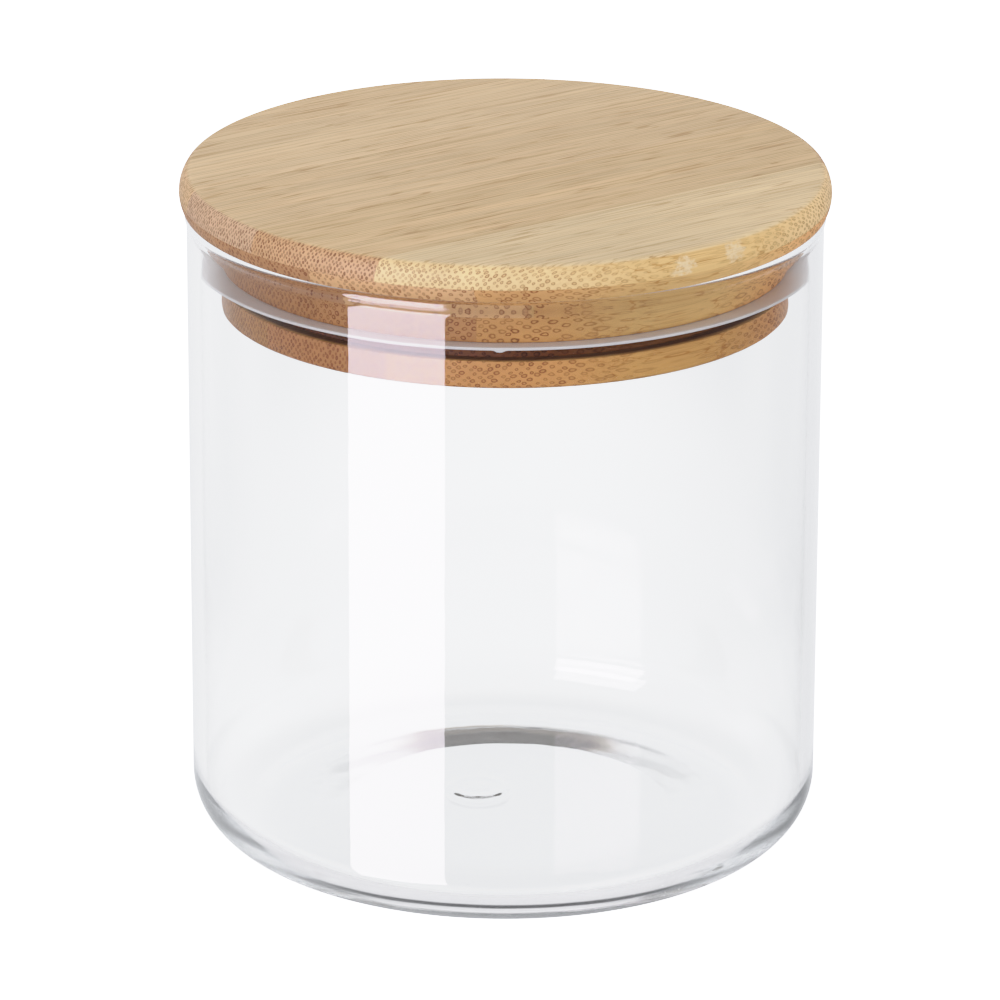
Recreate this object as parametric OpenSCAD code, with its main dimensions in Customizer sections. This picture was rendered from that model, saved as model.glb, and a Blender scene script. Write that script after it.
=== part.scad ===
// Food canister: a straight round glass jar with a bead rim, closed by a
// bamboo lid. The lid is turned from a block of glued bamboo slats, laid in
// four layers with their grain all one way, and a silicone ring sits in a
// groove round its plug and wipes the inside of the jar.
// Millimetres. +Z is up, the jar's axis is Z, and z = 0 is the surface it
// stands on. Outlines are [radius, z] and are turned about the axis.

/* [Jar] */
// Outside diameter of the glass wall
jar_d = 100; // [96:1:104]
// Height of the glass, from the foot to the top of the rim
jar_h = 104; // [90:1:130]
// Thickness of the glass wall
wall_t = 2.0; // [1.8:0.1:2.4]
// Thickness of the glass floor over the ring it stands on
floor_t = 3.1; // [2.6:0.1:3.8]
// Outside radius of the bottom corner
heel_r = 9.8; // [8:0.2:12]
// How far the middle of the underside is pushed up
push_up = 0.575; // [0.4:0.005:0.7]
// Radius at which the pushed-up middle begins to slope down
band_in = 26; // [23:0.2:27]
// Radius at which the slope meets the ring it stands on
band_out = 35.6; // [33:0.2:37]
// Extra thickness of the rim bead over the wall
bead_t = 0.36; // [0.2:0.02:0.5]
// Radius of the hollow under the bead, where it runs into the wall
bead_fillet_r = 4; // [3:0.5:6]

/* [Lid] */
// Thickness of the disc that overhangs the rim
disc_t = 5.7; // [5:0.1:8]
// Radius at which the edge's arc would meet the disc's top, less the jar's outside radius
top_inset = -0.1; // [-0.6:0.1:0]
// Radius of the disc's rounded edge, in section
edge_r = 5.0; // [4.8:0.1:6]
// How far the softened corner at the top of the edge reaches in over the top
arris = 0.9; // [0.4:0.1:1.4]
// Gap all round between the plug and the inside of the jar
plug_gap = 3.4; // [3:0.1:4]
// Depth of the plug below the rim
plug_h = 15.5; // [14.6:0.1:18]
// Chamfer on the plug's bottom edge
plug_chamfer = 0.4; // [0.2:0.1:0.8]
// Depth of the top of the groove below the rim
groove_drop = 8.1; // [7.8:0.1:8.6]
// Height of the groove
groove_h = 3.0; // [2.6:0.1:3.4]
// Depth of the groove
groove_depth = 2.2; // [1.8:0.1:2.6]

/* [Bamboo layers] */
// Direction of the grain, from +X towards +Y
grain_angle = 36; // [0:1:90]
// Width of one slat
slat_w = 22.2; // [20:0.2:23]
// Thickness of the top layer, after sanding
face_t = 3.6; // [3.2:0.1:4.2]
// Thickness of each of the two layers in the middle
core_t = 6.0; // [5.8:0.1:6.2]
// First glue line of the top layer, across the grain from the middle
face_line = -26.6; // [-30:0.2:-24]
// First glue line of the second layer
second_line = -38.4; // [-40:0.2:-34]
// First glue line of the third layer
third_line = -33.4; // [-38:0.2:-28]
// First glue line of the bottom layer
bottom_line = -22.6; // [-30:0.2:-16]

/* [Seal] */
// Height of the ring's body, which sits at the top of the groove
ring_h = 1.2; // [1.0:0.05:1.6]
// Thickness of the fin near its outer edge
fin_t = 0.45; // [0.35:0.05:0.6]
// Running gap between the fin and the glass
fin_gap = 0.05; // [0.02:0.01:0.09]
// Gap between the ring and the top and inner wall of its groove
ring_gap = 0.05; // [0.02:0.01:0.09]

/* [Hidden] */
$fn = 128;

far = 80; // farther from the axis than any part

// points along an arc in section, from one angle to another
function arc(centre_x, centre_z, radius, from, to, steps) =
    [for (i = [0:steps])
        let (angle = from + (to - from) * i / steps)
        [centre_x + radius * cos(angle), centre_z + radius * sin(angle)]];

// ---------------------------------------------------------------- glass

jar_r = jar_d / 2;
bore_r = jar_r - wall_t;
foot_out = jar_r - heel_r;
inner_heel_r = heel_r - wall_t;

bead_r = (wall_t + bead_t) / 2;
bead_x = bore_r + bead_r;
bead_z = jar_h - bead_r;

// the hollow under the bead touches the wall and the bead
hollow_x = jar_r + bead_fillet_r;
hollow_dx = hollow_x - bead_x;
hollow_dz = sqrt(pow(bead_fillet_r + bead_r, 2) - pow(hollow_dx, 2));
hollow_z = bead_z - hollow_dz;
hollow_angle = atan2(hollow_dz, hollow_dx);

// the slope under the floor: [fraction of its width, fraction of push_up];
// it turns down quickly from the flat middle and runs out gently to the foot
SLOPE = [
    [0, 1], [0.021, 0.993], [0.042, 0.974], [0.208, 0.771], [0.417, 0.534],
    [0.625, 0.308], [0.833, 0.088], [0.875, 0.049], [0.917, 0.022],
    [0.958, 0.006], [1, 0]
];

// the button's section: [radius from its own centre, height over the floor]
BUTTON = [
    [0, -0.6], [5.2, -0.6], [5.2, 0.04], [4.7, 0.26],
    [4.1, 0.26], [3.2, 0.1], [0, 0.16]
];
button_x = -4.1;
button_y = 5.5;

module jar_section() {
    band = [for (point = SLOPE)
        [band_in + point[0] * (band_out - band_in), push_up * point[1]]];
    polygon(concat(
        [[0, push_up]],
        band,
        arc(foot_out, heel_r, heel_r, from = -90, to = 0, steps = 18),
        arc(hollow_x, hollow_z, bead_fillet_r, from = 180, to = 180 - hollow_angle, steps = 6),
        arc(bead_x, bead_z, bead_r, from = -hollow_angle, to = 180, steps = 24),
        arc(bore_r - inner_heel_r, floor_t + inner_heel_r, inner_heel_r,
            from = 0, to = -90, steps = 16),
        [[0, floor_t]]
    ));
}

// shallow button left in the floor where the hot glass was held
module floor_button() {
    translate([button_x, button_y, floor_t])
        rotate_extrude() polygon(BUTTON);
}

module glass_jar() {
    color([0.86, 0.92, 0.90, 0.30]) {
        union() {
            rotate_extrude() jar_section();
            floor_button();
        }
    }
}

// ---------------------------------------------------------------- lid

seat_gap = 0.02;      // between the rim and the disc
widest_share = 0.42;  // height of the disc's widest place, as a share of disc_t
corner_drop = 0.55;   // the softened corner starts this far below the top

disc_z = jar_h + seat_gap;
lid_top = disc_z + disc_t;
corner_z = lid_top - corner_drop;
top_r = jar_r + top_inset;
plug_r = bore_r - plug_gap;
plug_z = jar_h - plug_h;
groove_top = jar_h - groove_drop;
groove_z = groove_top - groove_h;
groove_r = plug_r - groove_depth;

// undersides of the layers
face_z = lid_top - face_t;
second_z = face_z - core_t;
third_z = second_z - core_t;

// centre of the edge's arc, which would reach top_r at the top of the lid
edge_z = disc_z + widest_share * disc_t;
edge_x = top_r - edge_reach(lid_top);

// how far the edge's arc stands out from its centre at height z
function edge_reach(z) = sqrt(pow(edge_r, 2) - pow(z - edge_z, 2));

// arc of the disc's edge between two heights
function edge(low, high, steps) =
    [for (i = [0:steps])
        let (z = low + (high - low) * i / steps)
        [edge_x + edge_reach(z), z]];

// softened top corner of the disc: a quadratic curve that leaves the edge's
// arc along its tangent and ends on the flat top; its first point is left to edge()
function corner(steps) =
    let (
        reach = edge_reach(corner_z),
        start = [edge_x + reach, corner_z],
        tangent_in = (lid_top - corner_z) * (corner_z - edge_z) / reach,
        middle = [edge_x + reach - tangent_in, lid_top],
        end = [top_r - arris, lid_top]
    )
    [for (i = [1:steps])
        let (t = i / steps)
        start * pow(1 - t, 2) + middle * 2 * t * (1 - t) + end * t * t];

// each layer of the turned lid, before it is split into slats
module face_layer() {
    rotate_extrude() polygon(concat(
        [[0, face_z]],
        edge(face_z, corner_z, steps = 12),
        corner(steps = 5),
        [[0, lid_top]]));
}

module second_layer() {
    rotate_extrude() polygon(concat(
        [[0, second_z], [plug_r, second_z], [plug_r, disc_z]],
        edge(disc_z, face_z, steps = 8),
        [[0, face_z]]));
}

module third_layer() {
    rotate_extrude() polygon([
        [0, third_z], [groove_r, third_z], [groove_r, groove_top],
        [plug_r, groove_top], [plug_r, second_z], [0, second_z]]);
}

module bottom_layer() {
    rotate_extrude() polygon([
        [0, plug_z], [plug_r - plug_chamfer, plug_z], [plug_r, plug_z + plug_chamfer],
        [plug_r, groove_z], [groove_r, groove_z], [groove_r, third_z], [0, third_z]]);
}

// keeps slat i of count, counted across the grain; the first glue line ends
// slat 1, and the outermost slats run out to the lid's edge
module slat(first_line, i, count) {
    low = i == 1 ? -far : first_line + (i - 2) * slat_w;
    high = i == count ? far : first_line + (i - 1) * slat_w;
    margin = 5; // the cutting block passes the lid above and below
    intersection() {
        children();
        rotate([0, 0, grain_angle])
            translate([-far, low, plug_z - margin])
                cube([2 * far, high - low, lid_top - plug_z + 2 * margin]);
    }
}

module face_slat(i) { slat(face_line, i, 5) face_layer(); }
module second_slat(i) { slat(second_line, i, 5) second_layer(); }
module third_slat(i) { slat(third_line, i, 5) third_layer(); }
module bottom_slat(i) { slat(bottom_line, i, 4) bottom_layer(); }

module face_slat_1() { color([0.84, 0.75, 0.62]) face_slat(1); }
module face_slat_2() { color([0.80, 0.69, 0.55]) face_slat(2); }
module face_slat_3() { color([0.81, 0.71, 0.58]) face_slat(3); }
module face_slat_4() { color([0.83, 0.73, 0.60]) face_slat(4); }
module face_slat_5() { color([0.82, 0.72, 0.58]) face_slat(5); }

module second_slat_1() { color([0.78, 0.60, 0.46]) second_slat(1); }
module second_slat_2() { color([0.80, 0.62, 0.42]) second_slat(2); }
module second_slat_3() { color([0.83, 0.68, 0.48]) second_slat(3); }
module second_slat_4() { color([0.80, 0.66, 0.48]) second_slat(4); }
module second_slat_5() { color([0.78, 0.63, 0.46]) second_slat(5); }

module third_slat_1() { color([0.72, 0.53, 0.37]) third_slat(1); }
module third_slat_2() { color([0.76, 0.57, 0.39]) third_slat(2); }
module third_slat_3() { color([0.78, 0.61, 0.43]) third_slat(3); }
module third_slat_4() { color([0.74, 0.57, 0.41]) third_slat(4); }
module third_slat_5() { color([0.76, 0.59, 0.42]) third_slat(5); }

module bottom_slat_1() { color([0.74, 0.53, 0.35]) bottom_slat(1); }
module bottom_slat_2() { color([0.77, 0.56, 0.35]) bottom_slat(2); }
module bottom_slat_3() { color([0.73, 0.53, 0.36]) bottom_slat(3); }
module bottom_slat_4() { color([0.75, 0.57, 0.40]) bottom_slat(4); }

// ---------------------------------------------------------------- seal

ring_inset = 0.2;     // body's outside, in from the plug's
ring_chamfer = 0.15;  // bottom edges of the body
top_chamfer = 0.1;    // top inner edge of the body
root_drop = 0.85;     // fin's underside leaves the body, below its top
knee_drop = 0.5;      // bend in the fin's underside, below the body's top
knee_out = 0.35;      // the same bend, out from the body
fin_rise = 0.36;      // the fin is pushed up as the lid goes in

ring_top = groove_top - ring_gap;
ring_z = ring_top - ring_h;
ring_in = groove_r + ring_gap;
ring_out = plug_r - ring_inset;
fin_out = bore_r - fin_gap;
fin_top = ring_top + fin_rise;
fin_under = fin_top - fin_t;

// tab: a block in section, cut by a cylinder that lies along Y
tab_x = -0.8;
tab_r = 1.15;
tab_lift = 0.2;       // cylinder's axis, above the fin's top
tab_in = fin_out - 1.1;
tab_out = fin_out - 0.1;
tab_low = fin_under - 0.6;
tab_high = fin_top - 0.2;

module seal_section() {
    polygon([
        [ring_in, ring_z + ring_chamfer],
        [ring_in + ring_chamfer, ring_z],
        [ring_out - ring_chamfer, ring_z],
        [ring_out, ring_z + ring_chamfer],
        [ring_out, ring_top - root_drop],
        [ring_out + knee_out, ring_top - knee_drop],
        // the fin's tip, with its corners eased
        [fin_out - 0.12, fin_under],
        [fin_out, fin_under + 0.1],
        [fin_out, fin_top],
        [fin_out - 0.2, fin_top + 0.03],
        [ring_out, ring_top],
        [ring_in + top_chamfer, ring_top],
        [ring_in, ring_top - top_chamfer]]);
}

// small tab left under the fin by the mould, on the -Y side
module mould_tab() {
    intersection() {
        rotate_extrude()
            polygon([[tab_in, tab_low], [tab_out, tab_low],
                     [tab_out, tab_high], [tab_in, tab_high]]);
        translate([tab_x, 0, fin_top + tab_lift])
            rotate([90, 0, 0]) cylinder(r = tab_r, h = far);
    }
}

module seal_ring() {
    color([0.78, 0.78, 0.82, 0.75]) {
        union() {
            rotate_extrude() seal_section();
            mould_tab();
        }
    }
}

glass_jar();
seal_ring();
face_slat_1();
face_slat_2();
face_slat_3();
face_slat_4();
face_slat_5();
second_slat_1();
second_slat_2();
second_slat_3();
second_slat_4();
second_slat_5();
third_slat_1();
third_slat_2();
third_slat_3();
third_slat_4();
third_slat_5();
bottom_slat_1();
bottom_slat_2();
bottom_slat_3();
bottom_slat_4();
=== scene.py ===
"""A round glass storage jar with a laminated bamboo lid and a silicone sealing ring.

The jar stands on the floor at z = 0 with its axis on Z. The camera looks from -Y, so -X is left
and +Y is the back. The lid is four turned layers of bamboo slats, all with their grain along
one direction; its plug reaches down into the jar, and the ring sits in a groove in the plug.
Shapes and object-space textures are in mm; lights and the floor are in metres.
"""
import math

import bpy
import bmesh
from mathutils import Matrix, Vector, noise


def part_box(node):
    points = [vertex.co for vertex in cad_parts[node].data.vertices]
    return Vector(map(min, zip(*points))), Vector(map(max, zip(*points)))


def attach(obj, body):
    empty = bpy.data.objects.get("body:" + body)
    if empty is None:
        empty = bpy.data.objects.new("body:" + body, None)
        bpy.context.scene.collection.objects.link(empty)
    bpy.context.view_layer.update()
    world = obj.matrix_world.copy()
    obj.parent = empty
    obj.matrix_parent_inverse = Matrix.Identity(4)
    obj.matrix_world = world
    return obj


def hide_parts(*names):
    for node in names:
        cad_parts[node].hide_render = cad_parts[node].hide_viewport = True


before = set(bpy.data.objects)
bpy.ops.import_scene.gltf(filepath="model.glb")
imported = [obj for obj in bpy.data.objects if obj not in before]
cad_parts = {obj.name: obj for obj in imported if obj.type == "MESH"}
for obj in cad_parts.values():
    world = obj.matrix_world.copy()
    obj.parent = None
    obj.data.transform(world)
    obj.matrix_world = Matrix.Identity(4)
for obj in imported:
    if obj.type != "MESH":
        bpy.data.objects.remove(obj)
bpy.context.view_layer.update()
scene = bpy.context.scene
MM = 0.001


# ---------------------------------------------------------------- sizes, mm

def bottom_of(node):
    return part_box(node)[0].z / MM


def top_of(node):
    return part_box(node)[1].z / MM


def radius_of(node):
    lo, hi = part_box(node)
    return (hi.x - lo.x) / 2 / MM


# jar
JAR_H = top_of("glass_jar")
BEAD_OUT = radius_of("glass_jar")       # outer radius of the bead round the mouth
JAR_R = 50.0
WALL = 2.0
BORE = JAR_R - WALL
FLOOR_T = 3.1
HEEL = 9.8                              # outer radius of the rounded bottom edge
HEEL_IN = HEEL - WALL
FOOT_R = JAR_R - HEEL                   # where the heel leaves the floor
BEAD_FILLET = 4.0                       # hollow between the wall and the bead
PUSH = 0.575                            # rise of the middle of the underside
PUSH_X = 0.6                            # its offset from the axis
BAND_IN, BAND_OUT = 26.0, 35.6          # sloped ring round the raised middle
BREAK_W = 0.4                           # width of the sharp bend at its inner edge
RUN_OUT_R = 34.0                        # start of the gentle run-out at its outer edge
SLOPE_IN, SLOPE_OUT = 0.0751, 0.063     # steepness at the two edges
SLOPE_GAIN = 0.00021
BUTTON = (-4.1, 5.5)                    # x, y of the round mark in the floor

# lid
LID_TOP = top_of("face_slat_3")
FACE_Z = bottom_of("face_slat_3")
SECOND_Z = bottom_of("second_slat_3")
THIRD_Z = bottom_of("third_slat_3")
PLUG_Z = bottom_of("bottom_slat_2")
DISC_Z = JAR_H + 0.02                   # underside of the wide disc
TOP_R = 49.9
EDGE_R = 5.0                            # bulge of the disc's edge, seen in section
ARRIS = 0.9                             # width of the softened top corner
ARRIS_H = 0.55
EDGE_Z = DISC_Z + 0.42 * (LID_TOP - DISC_Z)
EDGE_X = TOP_R - math.sqrt(EDGE_R ** 2 - (LID_TOP - EDGE_Z) ** 2)
PLUG_R = 44.6
PLUG_FILLET = 0.25
DISC_ROUND = 0.18                       # rounding of the disc's lower corner
GROOVE_TOP = JAR_H - 8.1
GROOVE_Z = GROOVE_TOP - 3.0
GROOVE_R = PLUG_R - 2.2

# slats, placed by the glue lines between them, measured across the grain
GRAIN = math.radians(36)
GRAIN_X, GRAIN_Y = math.cos(GRAIN), math.sin(GRAIN)
SLAT_W = 22.2
STRIP_W = 0.75
OUTER_STRIPS = 72
FIRST_GLUE = {"face": (-26.6, 4), "second": (-38.4, 4), "third": (-33.4, 4), "bottom": (-22.6, 3)}

# silicone ring
RING_TOP = GROOVE_TOP - 0.05
RING_Z = bottom_of("seal_ring")
RING_IN, RING_OUT = GROOVE_R + 0.05, PLUG_R - 0.2
FIN_OUT = radius_of("seal_ring")
FIN_TIP = RING_TOP + 0.36
FIN_T = 0.45
FIN_ROOT = RING_TOP - 0.3


# ---------------------------------------------------------------- mesh helpers

def spread(start, end, count):
    """count + 1 evenly spaced values, both ends included."""
    return [start + (end - start) * i / count for i in range(count + 1)]


def stepped(start, limit, step):
    """Values from start in equal steps, stopping short of the limit."""
    values = []
    while (limit - start) * step > 0:
        values.append(start)
        start += step
    return values


def smooth(t):
    t = max(0.0, min(1.0, t))
    return t * t * (3 - 2 * t)


def arc(x, z, radius, from_deg, to_deg, count):
    return [(x + radius * math.cos(math.radians(a)), z + radius * math.sin(math.radians(a)))
            for a in spread(from_deg, to_deg, count)]


def bezier(start, middle, end, t):
    return start * (1 - t) ** 2 + middle * (2 * t * (1 - t)) + end * t ** 2


def round_corner(before, corner, after, radius, count=4):
    """The points that replace one corner of an (r, z) path."""
    corner = Vector(corner)
    back, ahead = Vector(before) - corner, Vector(after) - corner
    half = math.acos(back.normalized().dot(ahead.normalized())) / 2
    cut = min(radius / math.tan(half), back.length * 0.48, ahead.length * 0.48)
    start, end = corner + back.normalized() * cut, corner + ahead.normalized() * cut
    return [tuple(bezier(start, corner, end, i / count)) for i in range(count + 1)]


def rounded(points, radii):
    """An open (r, z) path with each inner corner rounded by its own radius."""
    path = [points[0]]
    for before, corner, after, radius in zip(points, points[1:], points[2:], radii):
        path += round_corner(before, corner, after, radius)
    return path + [points[-1]]


def new_object(name, verts_mm, faces):
    mesh = bpy.data.meshes.new(name)
    mesh.from_pydata([(x * MM, y * MM, z * MM) for x, y, z in verts_mm], [], faces)
    mesh.validate()
    obj = bpy.data.objects.new(name, mesh)
    scene.collection.objects.link(obj)
    return obj


def finish_mesh(obj, sharp, merge=False):
    """Turns the faces outward and shades them smooth, with edges above sharp degrees kept."""
    mesh = obj.data
    bm = bmesh.new()
    bm.from_mesh(mesh)
    if merge:
        bmesh.ops.remove_doubles(bm, verts=bm.verts, dist=2e-6)
    bmesh.ops.recalc_face_normals(bm, faces=bm.faces)
    bm.to_mesh(mesh)
    bm.free()
    mesh.update()
    mesh.polygons.foreach_set("use_smooth", [True] * len(mesh.polygons))
    mesh.set_sharp_from_angle(angle=math.radians(sharp))
    mesh.update()


def lathe(name, profile, segments, shift, closed=False):
    """Turns (r, z) points round Z, then moves each by shift. Points on the axis are poles."""
    verts, faces, rows = [], [], []
    angles = [2 * math.pi * i / segments for i in range(segments)]
    for r, z in profile:
        if r < 1e-6:
            rows.append([len(verts)])
            verts.append((0.0, 0.0, z))
        else:
            rows.append(list(range(len(verts), len(verts) + segments)))
            verts.extend((r * math.cos(a), r * math.sin(a), z) for a in angles)
    pairs = list(zip(rows[:-1], rows[1:]))
    if closed:
        pairs.append((rows[-1], rows[0]))
    for a, b in pairs:
        for i in range(segments):
            j = (i + 1) % segments
            if len(a) == 1:
                faces.append((a[0], b[j], b[i]))
            elif len(b) == 1:
                faces.append((a[i], a[j], b[0]))
            else:
                faces.append((a[i], a[j], b[j], b[i]))
    return new_object(name, [shift(v) for v in verts], faces)


def hand_over(obj, surface, rides, node):
    obj.data.materials.append(surface)
    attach(obj, rides)
    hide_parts(node)


# ---------------------------------------------------------------- node helpers

class Value:
    """A shader output. Python operators on it add math nodes."""

    def __init__(self, graph, socket):
        self.graph = graph
        self.socket = socket

    def __add__(self, other):
        return self.graph.math("ADD", self, other)

    def __sub__(self, other):
        return self.graph.math("SUBTRACT", self, other)

    def __mul__(self, other):
        return self.graph.math("MULTIPLY", self, other)

    def __truediv__(self, other):
        return self.graph.math("DIVIDE", self, other)

    def __pow__(self, other):
        return self.graph.math("POWER", self, other)

    def __gt__(self, other):
        return self.graph.math("GREATER_THAN", self, other)

    def __lt__(self, other):
        return self.graph.math("LESS_THAN", self, other)

    def __radd__(self, other):
        return self.graph.math("ADD", other, self)

    def __rsub__(self, other):
        return self.graph.math("SUBTRACT", other, self)

    def __abs__(self):
        return self.graph.math("ABSOLUTE", self)

    def swing(self, amount):
        """A 0..1 noise turned into a swing about zero."""
        return (self - 0.5) * amount

    def ramp(self, start, end, low=0.0, high=1.0):
        """Goes smoothly from low to high while the value goes from start to end."""
        return self.graph.value("ShaderNodeMapRange", {
            "Value": self, "From Min": start, "From Max": end, "To Min": low, "To Max": high,
        }, "Result", clamp=True, interpolation_type="SMOOTHSTEP")

    def blend(self, off, on):
        """A number between off and on, with this value as the factor."""
        return self.graph.value("ShaderNodeMix", {0: self, 2: off, 3: on},
                                data_type="FLOAT", clamp_factor=True)

    def tint(self, off, on):
        """A colour between off and on, with this value as the factor."""
        return self.graph.mix_colour(self, off, on, "MIX")

    def times(self, colour):
        """This colour multiplied by another."""
        return self.graph.mix_colour(1.0, self, colour, "MULTIPLY")


class Graph:
    """Writes the shader nodes of a material or world."""

    def __init__(self, owner, output_kind):
        owner.use_nodes = True
        self.tree = owner.node_tree
        self.tree.nodes.clear()
        self.output = self.add(output_kind)

    def add(self, kind, inputs=None, **properties):
        node = self.tree.nodes.new(kind)
        count = len(self.tree.nodes)
        node.location = (180 * count, -120 * (2 * count % 7))
        for name, setting in properties.items():
            setattr(node, name, setting)
        for key, given in (inputs or {}).items():
            socket = node.inputs[key]
            if isinstance(given, Value):
                self.tree.links.new(given.socket, socket)
            elif socket.type == "RGBA":
                socket.default_value = (*given, 1.0)
            else:
                socket.default_value = given
        return node

    def value(self, kind, inputs=None, output=0, **properties):
        return Value(self, self.add(kind, inputs, **properties).outputs[output])

    def reader(self, kind):
        """A node whose outputs are read by name."""
        node = self.add(kind)
        return lambda name: Value(self, node.outputs[name])

    def math(self, operation, *numbers):
        return self.value("ShaderNodeMath", dict(enumerate(numbers)), operation=operation)

    def scaled(self, vector, factor):
        return self.value("ShaderNodeVectorMath", {0: vector, "Scale": factor}, "Vector",
                          operation="SCALE")

    def point_mm(self):
        """The place on the object in mm."""
        return self.scaled(self.value("ShaderNodeTexCoord", output="Object"), 1000.0)

    def xyz(self, x, y, z):
        return self.value("ShaderNodeCombineXYZ", {0: x, 1: y, 2: z})

    def split(self, vector):
        node = self.add("ShaderNodeSeparateXYZ", {0: vector})
        return [Value(self, socket) for socket in node.outputs]

    def radius(self, x, y):
        return self.math("SQRT", x * x + y * y)

    def noise(self, vector, detail, rough=0.5, scale=1.0):
        return self.value("ShaderNodeTexNoise", {
            "Vector": vector, "Scale": scale, "Detail": detail, "Roughness": rough,
        }, noise_dimensions="3D")

    def cells(self, vector, randomness, dimensions):
        """Distance to the nearest cell centre, and three random numbers of that cell."""
        node = self.add("ShaderNodeTexVoronoi", {
            "Vector": vector, "Scale": 1.0, "Randomness": randomness,
        }, voronoi_dimensions=dimensions, feature="F1")
        distance, colour = (Value(self, node.outputs[key]) for key in ("Distance", "Color"))
        return distance, self.split(colour)

    def mix_colour(self, factor, first, second, blend_type):
        return self.value("ShaderNodeMix", {0: factor, 6: first, 7: second}, 2,
                          data_type="RGBA", blend_type=blend_type, clamp_factor=True)

    def bump(self, height, strength, distance):
        return self.value("ShaderNodeBump", {
            "Strength": strength, "Distance": distance, "Height": height})

    def emission(self, colour, strength):
        return self.value("ShaderNodeEmission", {"Color": colour, "Strength": strength})

    def mix_shader(self, factor, first, second):
        return self.value("ShaderNodeMixShader", {0: factor, 1: first, 2: second})

    def finish(self, shader):
        self.tree.links.new(shader.socket, self.output.inputs["Surface"])


def new_material(name):
    surface = bpy.data.materials.new(name)
    return surface, Graph(surface, "ShaderNodeOutputMaterial")


def srgb(*levels):
    """Linear colour from 0..255 display levels."""
    return tuple(c / 12.92 if c <= 0.04045 else ((c + 0.055) / 1.055) ** 2.4
                 for c in (level / 255 for level in levels))


# ---------------------------------------------------------------- bamboo

# Bundles cut along their length show as thin lines, in three sets:
# rate along the grain, rate across it, noise level the line follows, line width
BUNDLE_LINES = ((0.016, 0.62, 0.50, 0.020), (0.022, 1.05, 0.47, 0.022), (0.03, 1.7, 0.45, 0.026))
LINE_TINT = (0.62, 0.47, 0.34)
# colour of the painted shade on the floor of the groove under the ring
GROOVE_SHADE_TINT = (0.13, 0.045, 0.02)
SWELLING_COLOUR = (238, 214, 172)


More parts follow.
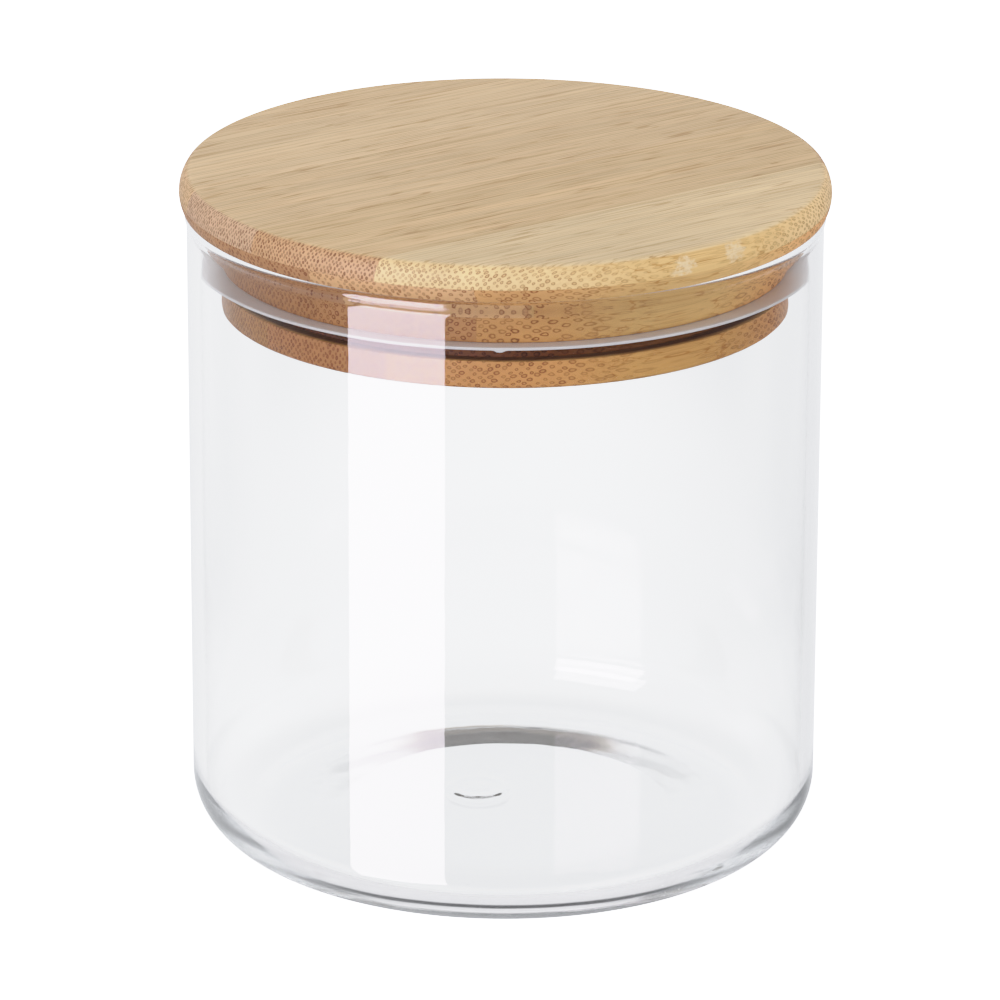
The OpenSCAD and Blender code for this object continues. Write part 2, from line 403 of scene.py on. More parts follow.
def bamboo(name, seed, top, side, end, dot, hollow, dot_size, pitch, row_pitch, row_spread,
           outer_z, outer_dir, on_end, on_long, missing=0.0, far=0.0, swellings=()):
    """Bamboo whose fibre bundles show as dots on end grain and as lines on long grain.

    top, side, end: colours of level long grain, upright long grain and end grain
    dot, hollow, dot_size: colour of a bundle, how pale its centre is, its size in its cell
    pitch, row_pitch, row_spread: bundle spacing across the slat and in depth, and its growth
    outer_z, outer_dir: height of the dense outer side of the stalk; +1 if it faces up
    on_end, on_long: strength of the bundles on end grain and on long grain
    missing: share of bundles left out per mm of depth
    far: extra lightness towards the +X +Y end of the grain, painted light for the brighter light
    on the lid's right side
    swellings: (along, across, height, their three half sizes, strength) of pale places
    """
    surface, g = new_material(name)
    x, y, z = g.split(g.point_mm())
    along = x * GRAIN_X + y * GRAIN_Y
    across = y * GRAIN_X - x * GRAIN_Y
    offset = seed * 37.17

    # the fibres wander a little as they run
    drift_across = g.noise(g.xyz(along * 0.020, across * 0.09, z * 0.09 + offset), detail=1.0)
    drift_up = g.noise(g.xyz(along * 0.028, across * 0.13 + (offset + 9.1), z * 0.10), detail=1.0)
    fibre_across = across + drift_across.swing(1.6)
    fibre_z = z + drift_up.swing(1.3)

    def grain_noise(rate_along, rate_across, detail, rough=0.5, shift=offset, rate_up=None):
        """Noise drawn out along the fibres; rates are per mm."""
        return g.noise(g.xyz(along * rate_along, fibre_across * rate_across,
                             fibre_z * (rate_up or rate_across) + shift), detail, rough)

    # rows of bundles lie closer together near the dense outer side
    depth = g.math("MAXIMUM", (outer_z - fibre_z) * float(outer_dir), 0.0)
    row = g.math("LOGARITHM", depth * (row_spread / row_pitch) + 1.0, math.e) / row_spread
    wobble = g.noise(g.xyz(across * 1.9, z * 1.9, offset), detail=1.0)
    # each bundle sits over the gap between two in the next row
    column = fibre_across / pitch + wobble.swing(0.30)
    half_row = row * 0.5 + offset * 1.31
    distance, random = g.cells(g.xyz(column + half_row, column - half_row, 0.0),
                               randomness=0.42, dimensions="2D")
    dot_r = (random[0] * 0.5 + 0.75) * dot_size
    spot = 1.0 - distance.ramp(start=dot_r * 0.62, end=dot_r)
    centre = 1.0 - distance.ramp(start=dot_r * 0.25, end=dot_r * 0.68)
    spot = spot * (1.0 - centre * hollow)
    spot = spot * (0.55 + random[1] * 0.45)
    if missing > 0:
        spot = spot * (random[2] > depth * missing)

    # how far the surface shows end grain, and how upright it is
    normal = g.value("ShaderNodeVectorTransform", {0: g.reader("ShaderNodeNewGeometry")("Normal")},
                     vector_type="NORMAL", convert_from="WORLD", convert_to="OBJECT")
    facing = abs(g.value("ShaderNodeVectorMath", {0: normal, 1: (GRAIN_X, GRAIN_Y, 0.0)}, "Value",
                         operation="DOT_PRODUCT"))
    end_grain = facing.ramp(start=0.10, end=0.55)
    upright = abs(g.split(normal)[2]).ramp(start=0.92, end=0.55)

    # lightness: broad tone, fibres, grit, and dark hairlines on long grain only
    tone = grain_noise(0.012, 0.24, rate_up=0.22, detail=3.0, rough=0.55)
    fibre = grain_noise(0.035, 2.6, detail=2.0, rough=0.6)
    hair = grain_noise(0.09, 6.5, detail=2.0, rough=0.6)
    grit = g.noise(g.xyz(x * 5.0, y * 5.0, z * 5.0), detail=2.0, rough=0.6)
    light = 1.0 + tone.swing(0.34)
    light = light + fibre.swing(0.22)
    light = light + grit.swing(0.10)
    light = light - hair.ramp(start=0.60, end=0.74) * end_grain.blend(off=0.20, on=0.0)
    # painted light: the +X +Y end of the grain is made lighter, for the brighter light on that
    # side
    if far:
        light = light * along.ramp(start=-8.0, end=30.0, low=1.0, high=1.0 + far)

    # bundles cut lengthwise, each line broken into short runs by a gate
    line = None
    for k, (rate_along, rate_across, level, width) in enumerate(BUNDLE_LINES):
        band = grain_noise(rate_along, rate_across, detail=1.0, rough=0.4,
                           shift=offset + 3.3 * k)
        gate = grain_noise(0.07, 0.55, detail=1.0, shift=offset + 21.0 + 5.1 * k)
        one = 1.0 - abs(band - level).ramp(start=width * 0.35, end=width)
        one = one * gate.ramp(start=0.44, end=0.56)
        line = one if line is None else g.math("MAXIMUM", line, one)
    line = line * end_grain.blend(off=0.72, on=0.0)

    colour = end_grain.tint(off=upright.tint(off=srgb(*top), on=srgb(*side)), on=srgb(*end))
    colour = colour.times(g.xyz(light, light, light))
    colour = line.tint(off=colour, on=colour.times(LINE_TINT))
    colour = (spot * end_grain.blend(off=on_long, on=on_end)).tint(off=colour, on=srgb(*dot))

    # painted shade: the floor of the groove is darkened, for the shadow under the fin of the ring
    groove_shade = (g.radius(x, y).ramp(start=PLUG_R - 0.15, end=PLUG_R - 1.1)
             * z.ramp(start=GROOVE_Z - 0.15, end=GROOVE_Z - 0.02))
    groove_shade = groove_shade * z.ramp(start=GROOVE_TOP + 0.15, end=GROOVE_TOP + 0.02)
    colour = (groove_shade * 0.85).tint(off=colour, on=colour.times(GROOVE_SHADE_TINT))

    # pale swollen places where the stalk had a node
    if swellings:
        patch = g.noise(g.xyz(along * 0.9, across * 1.3, z * 1.3), detail=3.0, rough=0.65)
    for at_along, at_across, at_z, size_along, size_across, size_z, strength in swellings:
        reach = (((along - at_along) / size_along) ** 2.0
                 + (((across - at_across) / size_across) ** 2.0
                    + ((z - at_z) / size_z) ** 2.0))
        reach = reach + patch.swing(4.5)
        reach = reach + fibre.swing(1.6)
        pale = (1.0 - reach.ramp(start=-0.2, end=1.5)) * strength
        colour = pale.tint(off=colour, on=srgb(*SWELLING_COLOUR))

    # dots and fibres stand out slightly in relief and in gloss
    height = spot * end_grain.blend(off=-0.35, on=-1.0) + fibre * 0.5
    height = height + hair.swing(0.3)
    g.finish(g.value("ShaderNodeBsdfPrincipled", {
        "Base Color": colour,
        "Roughness": 0.50 + fibre.swing(0.25) + spot * 0.12,
        "IOR": 1.45,
        "Specular IOR Level": 0.22,
        "Sheen Weight": 0.02,
        "Normal": g.bump(height, strength=0.35, distance=0.00006),
    }))
    return surface


# ---------------------------------------------------------------- lid layers

def edge_radius(z):
    """Radius of the disc's bulging edge at a height."""
    return EDGE_X + math.sqrt(EDGE_R ** 2 - (z - EDGE_Z) ** 2)


# Each layer's (radius, height) levels run from its lower face to its upper face.

def face_levels():
    corner_z = LID_TOP - ARRIS_H
    levels = [(edge_radius(z), z) for z in spread(FACE_Z, corner_z, 20)]
    # the softened top corner runs from the edge's arc to the flat
    corner_r = levels[-1][0]
    slope = (corner_z - EDGE_Z) / (corner_r - EDGE_X)
    middle_r = corner_r - ARRIS_H * slope
    return levels + [(bezier(corner_r, middle_r, TOP_R - ARRIS, k / 8),
                      bezier(corner_z, LID_TOP, LID_TOP, k / 8)) for k in range(1, 9)]


def second_levels():
    fillet_z = DISC_Z - PLUG_FILLET
    levels = [(PLUG_R, z) for z in spread(SECOND_Z, fillet_z, 8)]
    # small hollow where the plug meets the underside of the disc
    levels += arc(PLUG_R + PLUG_FILLET, fillet_z, PLUG_FILLET, 180, 90, 5)[1:]
    flat_r = edge_radius(DISC_Z) - DISC_ROUND
    levels += [(PLUG_R + (flat_r - PLUG_R) * t, DISC_Z) for t in (0.35, 0.7, 1.0)]
    # rounded lower corner of the disc
    round_z = DISC_Z + DISC_ROUND
    for k in range(1, 5):
        a = math.radians(90 * k / 4)
        levels.append((flat_r + (edge_radius(round_z) - flat_r) * math.sin(a),
                       DISC_Z + DISC_ROUND * (1 - math.cos(a))))
    return levels + [(edge_radius(z), z) for z in spread(round_z, FACE_Z, 9)[1:]]


def third_levels():
    return rounded([(GROOVE_R, THIRD_Z), (GROOVE_R, GROOVE_TOP), (PLUG_R, GROOVE_TOP),
                    (PLUG_R, SECOND_Z)], radii=[0.2, 0.16])


def bottom_levels():
    return rounded([(PLUG_R - 3.0, PLUG_Z), (PLUG_R - 0.4, PLUG_Z), (PLUG_R, PLUG_Z + 0.4),
                    (PLUG_R, GROOVE_Z), (GROOVE_R, GROOVE_Z), (GROOVE_R, THIRD_Z)],
                   radii=[0.25, 0.25, 0.16, 0.2])


LEVELS = {"face": face_levels, "second": second_levels, "third": third_levels,
          "bottom": bottom_levels}


def slat_mesh(name, levels, low, high):
    """One slat of a turned layer: the part between low and high across the grain.

    The outermost slats have None on their open side. Each level is a loop of pairs of points
    at equal distance across the grain, so every strip of the caps meets the edge.
    """
    outer = low is None or high is None
    strips = OUTER_STRIPS if outer else int((high - low) / STRIP_W)
    side, glue = (1.0, low) if high is None else (-1.0, high)
    verts, rows = [], []
    for radius, z in levels:
        minus, plus = [], []
        for j in range(strips + 1):
            if outer:
                # angle on the circle from the glue line to the middle of the arc
                first = math.asin(glue * side / radius)
                angle = first + (math.pi / 2 - first) * j / strips
                across = side * radius * math.sin(angle)
                along = radius * math.cos(angle) if j < strips else 0.0
            else:
                across = low + (high - low) * j / strips
                along = math.sqrt(radius * radius - across * across)
            minus.append((-along * GRAIN_X - across * GRAIN_Y,
                          -along * GRAIN_Y + across * GRAIN_X, z))
            plus.append((along * GRAIN_X - across * GRAIN_Y,
                         along * GRAIN_Y + across * GRAIN_X, z))
        base = len(verts)
        verts += minus + plus
        rows.append((range(base, base + strips + 1),
                     range(base + strips + 1, base + 2 * strips + 2)))
    faces = []
    for (m0, p0), (m1, p1) in zip(rows[:-1], rows[1:]):
        for j in range(strips):
            faces.append((p0[j], p0[j + 1], p1[j + 1], p1[j]))
            faces.append((m0[j + 1], m0[j], m1[j], m1[j + 1]))
        faces.append((m0[0], p0[0], p1[0], m1[0]))
        if not outer:
            faces.append((p0[strips], m0[strips], m1[strips], p1[strips]))
    (m0, p0), (m1, p1) = rows[0], rows[-1]
    for j in range(strips):
        faces.append((m0[j], m0[j + 1], p0[j + 1], p0[j]))
        faces.append((m1[j], p1[j], p1[j + 1], m1[j + 1]))
    return new_object(name, verts, faces)


# One row per slat, from the front right (-across) to the back left (+across).
LOOK_COLUMNS = ("top", "side", "end", "dot", "hollow", "dot_size", "pitch")
LOOKS = {
    "face": [
        ((227, 199, 153), (226, 184, 122), (240, 201, 145), (122, 66, 26), 0.6, 0.39, 0.74),
        ((221, 186, 138), (214, 168, 112), (208, 158, 116), (86, 40, 18), 0.2, 0.41, 0.66),
        ((223, 189, 143), (214, 168, 118), (214, 172, 138), (92, 46, 22), 0.2, 0.40, 0.66),
        ((230, 197, 151), (220, 178, 128), (220, 178, 132), (120, 68, 32), 0.2, 0.38, 0.66),
        ((226, 192, 146), (216, 174, 122), (214, 174, 128), (118, 68, 30), 0.2, 0.38, 0.66),
    ],
    "second": [
        ((210, 172, 120), (214, 170, 112), (206, 150, 98), (104, 50, 20), 0.85, 0.42, 1.15),
        ((210, 172, 120), (206, 160, 104), (215, 164, 118), (104, 48, 22), 0.5, 0.40, 1.0),
        ((210, 172, 120), (204, 158, 104), (178, 128, 90), (92, 44, 20), 0.3, 0.40, 0.9),
        ((210, 172, 120), (204, 158, 104), (184, 136, 98), (96, 48, 22), 0.3, 0.40, 0.9),
        ((210, 172, 120), (204, 158, 104), (200, 150, 102), (108, 56, 26), 0.5, 0.40, 1.1),
    ],
    "third": [
        ((204, 160, 106), (214, 170, 112), (204, 146, 92), (98, 50, 20), 0.95, 0.39, 1.47),
        # painted shade: this slat's end colour is darkened for the shade on the upper plug at the
        # left
        ((204, 160, 106), (204, 162, 108), (182, 128, 84), (90, 44, 18), 0.9, 0.39, 1.2),
        ((204, 160, 106), (204, 162, 108), (174, 122, 80), (88, 42, 18), 0.6, 0.39, 0.95),
        ((204, 160, 106), (204, 162, 108), (178, 128, 86), (90, 44, 20), 0.6, 0.39, 0.95),
        ((204, 160, 106), (204, 162, 108), (186, 134, 86), (98, 50, 20), 0.9, 0.39, 1.3),
    ],
    "bottom": [
        ((196, 148, 92), (214, 156, 92), (210, 143, 88), (98, 46, 18), 0.7, 0.38, 1.0),
        ((198, 148, 90), (192, 142, 86), (182, 122, 78), (82, 36, 14), 0.5, 0.39, 0.85),
        ((196, 146, 88), (190, 140, 86), (178, 124, 74), (86, 40, 16), 0.5, 0.39, 0.85),
        ((200, 154, 100), (198, 154, 104), (198, 152, 106), (104, 58, 26), 0.3, 0.38, 0.95),
    ],
}
# which side of the stalk each layer turns up, and how its bundles spread away from it
GRADES = {
    "face": dict(outer_z=LID_TOP + 0.2, outer_dir=1, row_pitch=0.38, row_spread=0.05,
                 on_end=0.92, on_long=0.3),
    "second": dict(outer_z=FACE_Z + 0.1, outer_dir=1, row_pitch=0.42, row_spread=0.16,
                   on_end=0.92, on_long=0.3, missing=0.10),
    "third": dict(outer_z=SECOND_Z + 1.5, outer_dir=1, row_pitch=0.66, row_spread=0.02,
                  on_end=0.95, on_long=0.35),
    "bottom": dict(outer_z=PLUG_Z - 0.2, outer_dir=-1, row_pitch=0.52, row_spread=0.04,
                   on_end=0.95, on_long=0.35),
}
# what single slats have besides, by layer and place in it
EXTRAS = {
    ("face", 0): dict(far=0.10, row_pitch=0.42, swellings=[
        (6.2, -50.2, 107.9, 2.0, 3.0, 1.5, 0.7),
        (-3.4, -50.8, 107.6, 1.7, 3.0, 1.3, 0.75),
        (-5.0, -50.8, 106.7, 1.2, 3.0, 0.7, 0.5),
    ]),
    ("second", 0): dict(far=0.5),
    ("third", 0): dict(far=0.4),
}


def build_lid():
    seed = 0
    for layer, (first_glue, glue_count) in FIRST_GLUE.items():
        levels = LEVELS[layer]()
        glue = [None, *(first_glue + SLAT_W * k for k in range(glue_count)), None]
        for i, row in enumerate(LOOKS[layer]):
            node = f"{layer}_slat_{i + 1}"
            slat = slat_mesh(node + "_turned", levels, glue[i], glue[i + 1])
            finish_mesh(slat, sharp=35, merge=True)
            seed += 1
            look = {**dict(zip(LOOK_COLUMNS, row)), **GRADES[layer],
                    **EXTRAS.get((layer, i), {})}
            hand_over(slat, bamboo("bamboo_" + node, seed, **look),
                      "lid", node)


build_lid()


# ---------------------------------------------------------------- glass jar

def underside(r):
    """Flat in the middle, then a slope that breaks sharply and runs out gently."""
    if r <= BAND_IN:
        return PUSH
    if r < BAND_IN + BREAK_W:
        return PUSH - SLOPE_IN * (r - BAND_IN) ** 2 / (2 * BREAK_W)
    run_out_w = BAND_OUT - RUN_OUT_R
    if r < RUN_OUT_R:
        run = RUN_OUT_R - r
        return SLOPE_OUT * run_out_w / 2 + SLOPE_OUT * run + SLOPE_GAIN * run ** 3 / 3
    if r < BAND_OUT:
        return SLOPE_OUT * (BAND_OUT - r) ** 2 / (2 * run_out_w)
    return 0.0


def jar_profile():
    """From the middle of the underside, up the outside, over the bead and back inside."""
    bead_r = (BEAD_OUT - BORE) / 2
    bead_x, bead_z = BORE + bead_r, JAR_H - bead_r
    # centre of the hollow that joins the wall to the bead
    hollow_x = JAR_R + BEAD_FILLET
    dx = hollow_x - bead_x
    dz = math.sqrt((BEAD_FILLET + bead_r) ** 2 - dx * dx)
    hollow_z = bead_z - dz
    hollow_deg = math.degrees(math.atan2(dz, dx))
    heel_in_x, heel_in_z = BORE - HEEL_IN, FLOOR_T + HEEL_IN

    points = [(0.0, underside(0))]
    points += [(r, underside(r)) for r in stepped(2.0, BAND_IN - 3.5, 2.0)
               + stepped(BAND_IN - 3.2, BAND_OUT + 2.9, 0.2)]
    points += [(FOOT_R - 1.0, 0.0)]
    points += arc(FOOT_R, HEEL, HEEL, -90, 0, 48)
    points += [(JAR_R, z) for z in spread(HEEL, hollow_z, 10)[1:-1]]
    points += arc(hollow_x, hollow_z, BEAD_FILLET, 180, 180 - hollow_deg, 16)
    points += arc(bead_x, bead_z, bead_r, -hollow_deg, 180, 56)[1:]
    points += [(BORE, z) for z in spread(bead_z, heel_in_z, 10)[1:-1]]
    points += arc(heel_in_x, heel_in_z, HEEL_IN, 0, -90, 44)
    floor_radii = stepped(heel_in_x - 0.6, 13.5, -0.8)
    floor_radii += stepped(floor_radii[-1] - 0.8, 0.4, -0.3)
    return points + [(r, FLOOR_T) for r in floor_radii] + [(0.0, FLOOR_T)]


def jar_shift(v):
    """The mark in the middle of the floor, and the slight unevenness of blown glass."""
    x, y, z = v
    r = math.hypot(x, y)
    if z > 14 or r > 47.9:
        return v
    if z < 0.8 and r < 39.0:
        # the pushed-up middle sits a little off the axis
        return (x, y, underside(math.hypot(x - PUSH_X, y)))
    if z <= 1.6 or (r >= 41 and z <= FLOOR_T):
        return v
    # a raised ring, higher at its front, with a low boss inside it
    d = math.hypot(x - BUTTON[0], y - BUTTON[1])
    front = 0.55 - 0.45 * (y - BUTTON[1]) / max(d, 0.1)
    rise = 0.20 * front * (smooth((5.6 - d) / 1.3) - smooth((4.2 - d) / 1.5) * 0.85)
    rise += 0.05 * smooth((2.6 - d) / 2.0)
    # broad and fine unevenness, and faint circles towards the heel
    rise += 0.030 * noise.noise(Vector((x * 0.11, y * 0.11, 3.7)))
    rise += 0.012 * noise.noise(Vector((x * 0.33, y * 0.33, 8.1)))
    phase = 0.8 * noise.noise(Vector((x * 0.05, y * 0.05, 1.0)))
    rise += 0.010 * math.sin(r * 1.35 + phase) * smooth((r - 20) / 12)
    return (x, y, z + rise * (1 - smooth((z - FLOOR_T - 1.0) / 6.0)))


# Light that has run a long way inside the glass is given a fixed tone.
DEEP, DEEP_TINT = 0.05, (1.0, 0.62, 0.30)       # the dark brown of the shade under the floor
PALE, PALE_TINT = 1.12, (0.985, 0.975, 1.03)    # the pale glow elsewhere


def clear_glass():
    surface, g = new_material("clear_glass")
    point = g.point_mm()
    x, _, z = g.split(point)
    # faint waviness, with a finer part in the floor only
    low = z.ramp(start=9.0, end=3.0)
    wave = g.noise(point, scale=0.16, detail=2.0, rough=0.5)
    fine = g.noise(point, scale=1.1, detail=2.0, rough=0.6)
    wave_weight, fine_weight = 1.0, 0.05
    height = wave * wave_weight + fine * low * fine_weight
    glass = g.value("ShaderNodeBsdfGlass", {
        "Color": (0.990, 0.994, 0.993),
        "IOR": 1.474,
        "Roughness": 0.0,
        "Normal": g.bump(height, strength=0.5, distance=0.00002),
    }, distribution="GGX")

    # light that lights other things passes straight through the thin walls
    clear = g.value("ShaderNodeBsdfTransparent", {"Color": (0.955, 0.962, 0.960)})
    ray = g.reader("ShaderNodeLightPath")
    through = g.math("MAXIMUM", ray("Is Shadow Ray"), ray("Is Diffuse Ray"))
    shader = g.mix_shader(through, glass, clear)

    # dust and tiny seeds in the floor
    distance, random = g.cells(g.scaled(point, 0.9), randomness=1.0, dimensions="3D")
    speck_r, speck_share_off = 0.10, 0.72
    speck = (distance < speck_r) * (random[0] > speck_share_off) * low
    speck_weight, film_weight, haze_amount = 0.30, 0.015, 1.0
    haze = (speck * speck_weight + low * film_weight) * haze_amount
    dust = g.value("ShaderNodeBsdfDiffuse", {"Color": (0.55, 0.54, 0.52)})
    shader = g.mix_shader(haze, shader, dust)

    # painted glow: light caught between the faces of the glass is stopped after 12 turns and the
    # glass glows with a painted tone instead, dark in the middle and pale at the left and right,
    # and darkest after several passes
    shade = abs(x).ramp(start=20.0, end=37.0).blend(off=0.34, on=1.32)
    below = ray("Transmission Depth") > 2.5
    caught = g.emission(below.tint(off=(0.985, 0.970, 1.04), on=DEEP_TINT),
                        below.blend(off=shade, on=DEEP))
    held = (ray("Ray Depth") > 12.5) * (1.0 - through)
    g.finish(g.mix_shader(held, shader, caught))
    return surface


jar = lathe("glass_jar_blown", jar_profile(), 360, jar_shift)
finish_mesh(jar, sharp=60)
hand_over(jar, clear_glass(), "jar", "glass_jar")


# ---------------------------------------------------------------- silicone ring

def ring_profile():
    """A square body in the groove with a thin fin reaching outward from its top."""
    # r, z, corner radius
    corners = [
        (RING_IN, RING_Z, 0.25),
        (RING_OUT, RING_Z, 0.25),
        (RING_OUT, FIN_ROOT - 0.55, 0.25),
        (RING_OUT + 0.35, FIN_ROOT - 0.2, 0.4),
        (FIN_OUT - 0.12, FIN_TIP - FIN_T, 0.12),
        (FIN_OUT, FIN_TIP + 0.1 - FIN_T, 0.08),
        (FIN_OUT, FIN_TIP, 0.06),
        (FIN_OUT - 0.2, FIN_TIP + 0.03, 0.15),
        (RING_OUT, RING_TOP, 0.2),
        (RING_IN, RING_TOP, 0.2),
    ]
    path = []
    for k, (r, z, radius) in enumerate(corners):
        after = corners[(k + 1) % len(corners)]
        path += round_corner(corners[k - 1][:2], (r, z), after[:2], radius)
    return path


def ring_shift(v):
    """A small tab under the fin at the front, and a fin that is never quite even."""
    x, y, z = v
    r = math.hypot(x, y)
    free = r - PLUG_R - 1.0
    if free > 0:
        a = math.atan2(y, x)
        dz = 0.02 * math.sin(5 * a + 1.0) + 0.015 * math.sin(11 * a)
        if z < RING_TOP + 0.1 and r > FIN_OUT - 1.2:
            from_tab = (a + math.pi / 2) * FIN_OUT + 0.8
            dz -= 0.32 * math.exp(-(from_tab / 0.75) ** 4) * smooth((r - FIN_OUT + 1.2) / 0.5)
        z += dz * smooth(free / 2.0)
    return (x, y, z)


def silicone():
    surface, g = new_material("silicone")
    point = g.point_mm()
    cloud = g.noise(point, scale=0.35, detail=3.0, rough=0.55)
    fine = g.noise(point, scale=7.0, detail=2.0, rough=0.6)
    base_rough, rough_swing = 0.34, 0.12
    g.finish(g.value("ShaderNodeBsdfPrincipled", {
        "Base Color": cloud.tint(off=srgb(213, 209, 215), on=srgb(225, 221, 226)),
        "Roughness": base_rough + fine * rough_swing,
        "IOR": 1.41,
        "Subsurface Weight": 0.35,
        "Subsurface Radius": (1.0, 1.0, 1.1),
        "Subsurface Scale": 0.0012,
        "Normal": g.bump(fine, strength=0.25, distance=0.00003),
    }))
    return surface


ring = lathe("seal_ring_moulded", ring_profile(), 720, ring_shift, closed=True)
finish_mesh(ring, sharp=50)
hand_over(ring, silicone(), "seal", "seal_ring")


# ---------------------------------------------------------------- stage and light, metres

def around(azimuth, distance, z):
    """A point round the jar; azimuth 0 is the camera's side and positive is to the left."""
    a = math.radians(azimuth)
    return (-math.sin(a) * distance, -math.cos(a) * distance, z)


def aim(obj, centre, target, axis):
    """Puts the object at centre with its axis towards target."""
    obj.location = centre
    obj.rotation_mode = "QUATERNION"
    obj.rotation_quaternion = (Vector(target) - Vector(centre)).to_track_quat(axis, "Y")


def rectangle(name, width, depth):
    x, y = width / 2, depth / 2
    mesh = bpy.data.meshes.new(name)
    mesh.from_pydata([(-x, -y, 0), (x, -y, 0), (x, y, 0), (-x, y, 0)], [], [(0, 1, 2, 3)])
    obj = bpy.data.objects.new(name, mesh)
    scene.collection.objects.link(obj)
    return obj


def left_card():
    """A tall glowing card at the front left, seen only in and through the glass."""
    distance, z, half_angle = 1.25, -0.05, math.radians(18)
    card = rectangle("box_left", 2 * distance * math.tan(half_angle), 1.7)
    aim(card, around(39, distance, z), (0, 0, z), "Z")
    surface, g = new_material("box_left")
    g.finish(g.emission(colour=(0.94, 0.82, 0.96), strength=17.0))
    card.data.materials.append(surface)
    card.visible_camera = False
    card.visible_diffuse = False
    card.visible_glossy = True
    card.visible_transmission = True
    card.visible_shadow = False


def softbox(name, centre, target, width, height, power):
    light = bpy.data.lights.new(name, "AREA")
    light.shape = "RECTANGLE"
    light.size = width
    light.size_y = height
    light.energy = power
    light.color = (1, 1, 1)
    lamp = bpy.data.objects.new(name, light)
    scene.collection.objects.link(lamp)
    aim(lamp, centre, target, "-Z")
    lamp.visible_glossy = False
    lamp.visible_transmission = False
    lamp.visible_camera = False


left_card()
# light on the wood
JAR_MIDDLE = (0, 0, 0.055)
softbox("key_left", around(38, 1.1, 0.42), JAR_MIDDLE, width=0.7, height=0.9, power=7.4)
softbox("fill_right", around(-52, 1.2, 0.18), JAR_MIDDLE, width=0.8, height=0.8, power=7.5)
softbox("top", (0.05, 0.05, 1.1), (0, 0, 0.1), width=1.2, height=1.2, power=3.4)

# brightness of the floor and surroundings
SEEN_LEVEL = 3.4            # straight from the camera
DIFFUSE_LEVEL = 0.50        # as light on the pieces
# the floor under the jar is set dimmer than outside it, as painted shade
FLOOR_LEVEL = 1.20          # under the jar
HEEL_LEVEL = 1.31           # where the heel curves down to the floor
OUT_LEVEL = 1.56            # outside the jar
GAP_LEVEL = 0.22            # under the back of the sloped ring
CONTACT_LEVEL = 0.10        # thin shadow at the front of the heel
FRONT_DIMMING = 0.97        # of the far floor at the front and sides, in reflections
FLOOR_TINT, GAP_TINT = (0.985, 0.99, 1.03), (1.0, 0.78, 0.56)
MIDDLE_X = 1.0              # mm, middle of the gap and of the dark wedge


def floor_white():
    """An emitting floor whose level depends on the place (mm) and on the kind of ray."""
    surface, g = new_material("floor_white")
    ray = g.reader("ShaderNodeLightPath")
    place = g.reader("ShaderNodeNewGeometry")("Position")
    x, y, _ = g.split(g.scaled(place, 1000.0))
    r = g.radius(x, y)
    # painted shade: the floor under the jar and the heel is dimmer than the floor outside it
    level = r.ramp(start=36.0, end=41.0, low=FLOOR_LEVEL, high=HEEL_LEVEL)
    # outside the jar it falls off slowly to the left and right
    fall = (x.ramp(start=-20.0, end=-60.0, low=0.0, high=0.07)
            + x.ramp(start=12.0, end=58.0, low=0.0, high=0.13))
    level = r.ramp(start=46.0, end=56.0).blend(off=level, on=(1.0 - fall) * OUT_LEVEL)

    # the gap under the sloped ring gets less light at the back
    gap = r.ramp(start=30.6, end=32.2) * r.ramp(start=36.1, end=35.5)
    gap = gap * (abs(x - MIDDLE_X).ramp(start=19.0, end=13.0) * y.ramp(start=10.0, end=20.0))
    level = gap.blend(off=level, on=GAP_LEVEL)

    # far out, all but the back is dark in what the glass reflects
    front = 1.0 - (y / r).ramp(start=0.28, end=0.72)
    front = front * r.ramp(start=105.0, end=170.0)
    front = front * (ray("Glossy Depth") > 0.5)
    level = level * (1.0 - front * FRONT_DIMMING)

    # light that has run round inside the glass
    turns, passes = ray("Glossy Depth"), ray("Transmission Depth")
    near = (turns > 0.5) * (passes > 0.5)
    near = near * (passes < 3.5) * r.ramp(start=70.0, end=56.0)
    guided = g.math("MAXIMUM", near, turns > 1.5)
    level = guided.blend(off=level, on=PALE)
    tint = guided.tint(off=gap.tint(off=FLOOR_TINT, on=GAP_TINT), on=PALE_TINT)

    # the dark wedge sent out through the back of the heel
    wedge = (turns > 2.5) * (passes > 3.5)
    wedge = wedge * abs(x - MIDDLE_X).ramp(start=23.0, end=16.5)
    wedge = wedge * y.ramp(start=24.0, end=30.0)
    level = wedge.blend(off=level, on=DEEP)
    tint = wedge.tint(off=tint, on=DEEP_TINT)

    # the thin shadow where the front of the heel meets the floor
    contact = r.ramp(start=41.2, end=41.9) * r.ramp(start=43.8, end=42.9)
    contact = contact * y.ramp(start=-22.0, end=-35.0)
    contact = contact * (turns > 0.5)
    level = contact.blend(off=level, on=CONTACT_LEVEL)

    level = ray("Is Diffuse Ray").blend(off=level, on=DIFFUSE_LEVEL)
    level = ray("Is Camera Ray").blend(off=level, on=SEEN_LEVEL)
    g.finish(g.emission(tint, level))
    return surface


floor = rectangle("floor", 12.0, 12.0)
floor.location.z = -0.0003
floor.data.materials.append(floor_white())
floor.visible_glossy = False


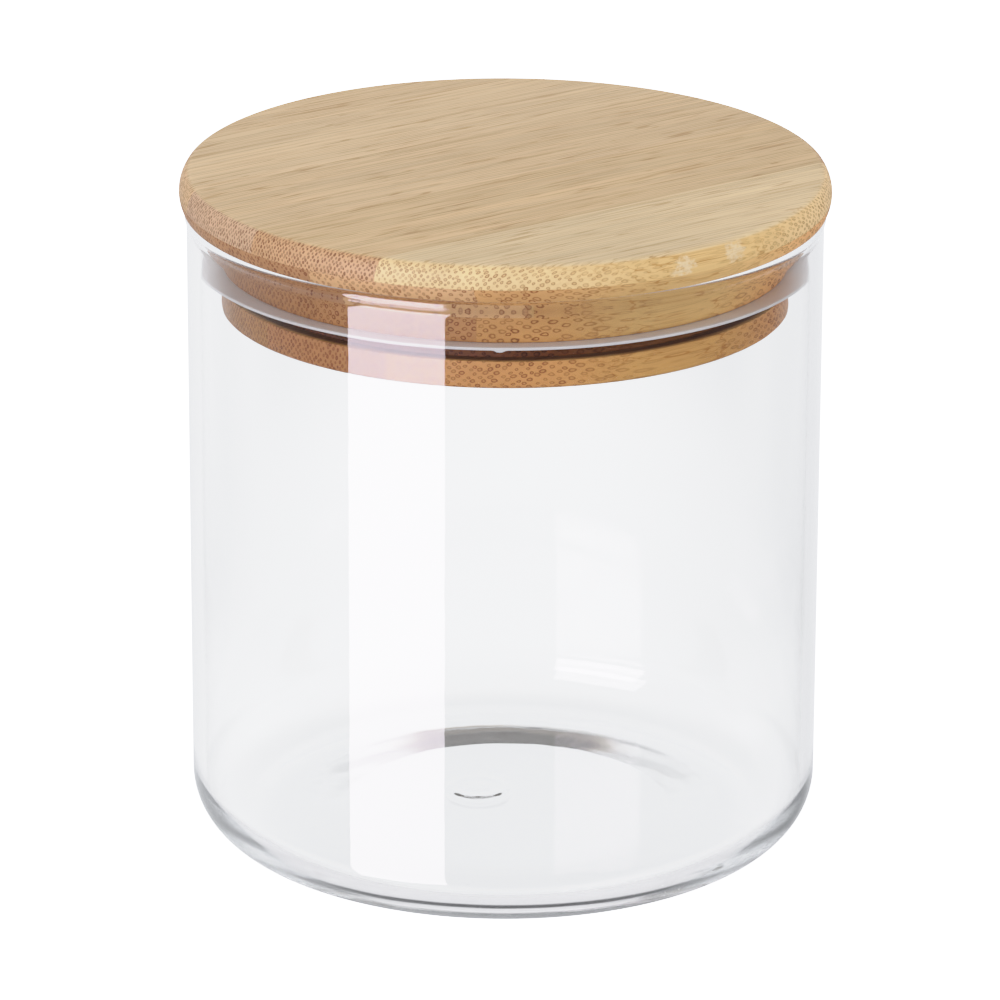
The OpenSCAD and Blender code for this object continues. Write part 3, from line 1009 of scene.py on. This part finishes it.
def studio():
    """Surroundings whose level depends on the direction and on the kind of ray."""
    world = bpy.data.worlds.new("studio")
    scene.world = world
    g = Graph(world, "ShaderNodeOutputWorld")
    x, y, z = g.split(g.value("ShaderNodeTexCoord", output="Generated"))
    ray = g.reader("ShaderNodeLightPath")

    # seen through the glass: bright behind, dim overhead and, for what is also reflected,
    # on the camera's side
    behind = y.ramp(start=0.0, end=0.9).blend(off=1.10, on=1.50)
    camera_side = (ray("Glossy Depth") > 0.5).blend(off=1.10, on=0.30)
    seen_through = y.ramp(start=-0.25, end=0.05).blend(off=camera_side, on=behind)
    seen_through = seen_through * z.ramp(start=0.25, end=0.7, low=1.0, high=0.45)

    # seen as a reflection: brighter at the left than at the right, and brightest at the back
    sides = x.ramp(start=-0.3, end=0.6).blend(off=0.85, on=0.24)
    sides = y.ramp(start=0.75, end=0.98).blend(off=sides, on=1.15)
    reflected = y.ramp(start=-0.45, end=0.3).blend(off=0.12, on=sides)
    reflected = reflected + z.ramp(start=0.3, end=0.95, low=0.0, high=0.35)

    level = ray("Is Transmission Ray").blend(off=reflected, on=seen_through)
    level = ray("Is Diffuse Ray").blend(off=level, on=DIFFUSE_LEVEL)
    level = ray("Is Camera Ray").blend(off=level, on=SEEN_LEVEL)
    tint = ray("Is Diffuse Ray").tint(off=(0.975, 0.995, 1.05), on=(1.0, 0.985, 0.97))

    # light that has run a long way inside the glass, and the dark wedge at the back
    turns, passes = ray("Glossy Depth"), ray("Transmission Depth")
    inside = (turns > 1.5) * ray("Is Transmission Ray")
    level = inside.blend(off=level, on=PALE)
    tint = inside.tint(off=tint, on=PALE_TINT)
    wedge = (turns > 2.5) * (passes > 3.5)
    wedge = wedge * inside * y.ramp(start=0.0, end=0.1)
    wedge = wedge * abs(x).ramp(start=0.24, end=0.15)
    level = wedge.blend(off=level, on=DEEP)
    tint = wedge.tint(off=tint, on=DEEP_TINT)
    g.finish(g.value("ShaderNodeBackground", {"Color": tint, "Strength": level}))


studio()

# ---------------------------------------------------------------- camera

CAMERA_DOWN = math.radians(19.896)
CAMERA_ROLL = math.radians(-0.209)
CAMERA_AIM = (-0.687, 0, 54.315)        # mm
CAMERA_DISTANCE = 1084.85               # mm

camera_data = bpy.data.cameras.new("camera")
camera_data.sensor_width = 36.0
camera_data.lens = 245.2734
camera_data.clip_start, camera_data.clip_end = 0.01, 20.0
camera = bpy.data.objects.new("camera", camera_data)
scene.collection.objects.link(camera)
forward = Vector((0, math.cos(CAMERA_DOWN), -math.sin(CAMERA_DOWN)))
position = Vector(CAMERA_AIM) * MM - forward * CAMERA_DISTANCE * MM
roll = Matrix.Rotation(CAMERA_ROLL, 4, forward)
turn = forward.to_track_quat("-Z", "Y").to_matrix().to_4x4()
camera.matrix_world = Matrix.Translation(position) @ roll @ turn
scene.camera = camera

# ---------------------------------------------------------------- render settings

cycles = scene.cycles
cycles.max_bounces = 72
cycles.transmission_bounces = 72
cycles.glossy_bounces = 72
cycles.diffuse_bounces = 3
cycles.transparent_max_bounces = 24
cycles.caustics_reflective = False
cycles.caustics_refractive = False
cycles.use_denoising = True
cycles.use_adaptive_sampling = False
cycles.seed = 4

view = scene.view_settings
view.view_transform = "Standard"
view.look = "None"
view.exposure = 0.0
view.gamma = 1.0
# a soft shoulder, so that pale things against white keep their tone
view.use_curve_mapping = True
WHITE = 2.6
# scene brightness, displayed level
SHOULDER = ((0.6, 0.56), (1.0, 0.80), (1.35, 0.895), (1.75, 0.95), (2.2, 0.985))
mapping = view.curve_mapping
mapping.white_level = (WHITE, WHITE, WHITE)
for brightness, shown in SHOULDER:
    mapping.curves[3].points.new(brightness / WHITE, shown)
mapping.update()
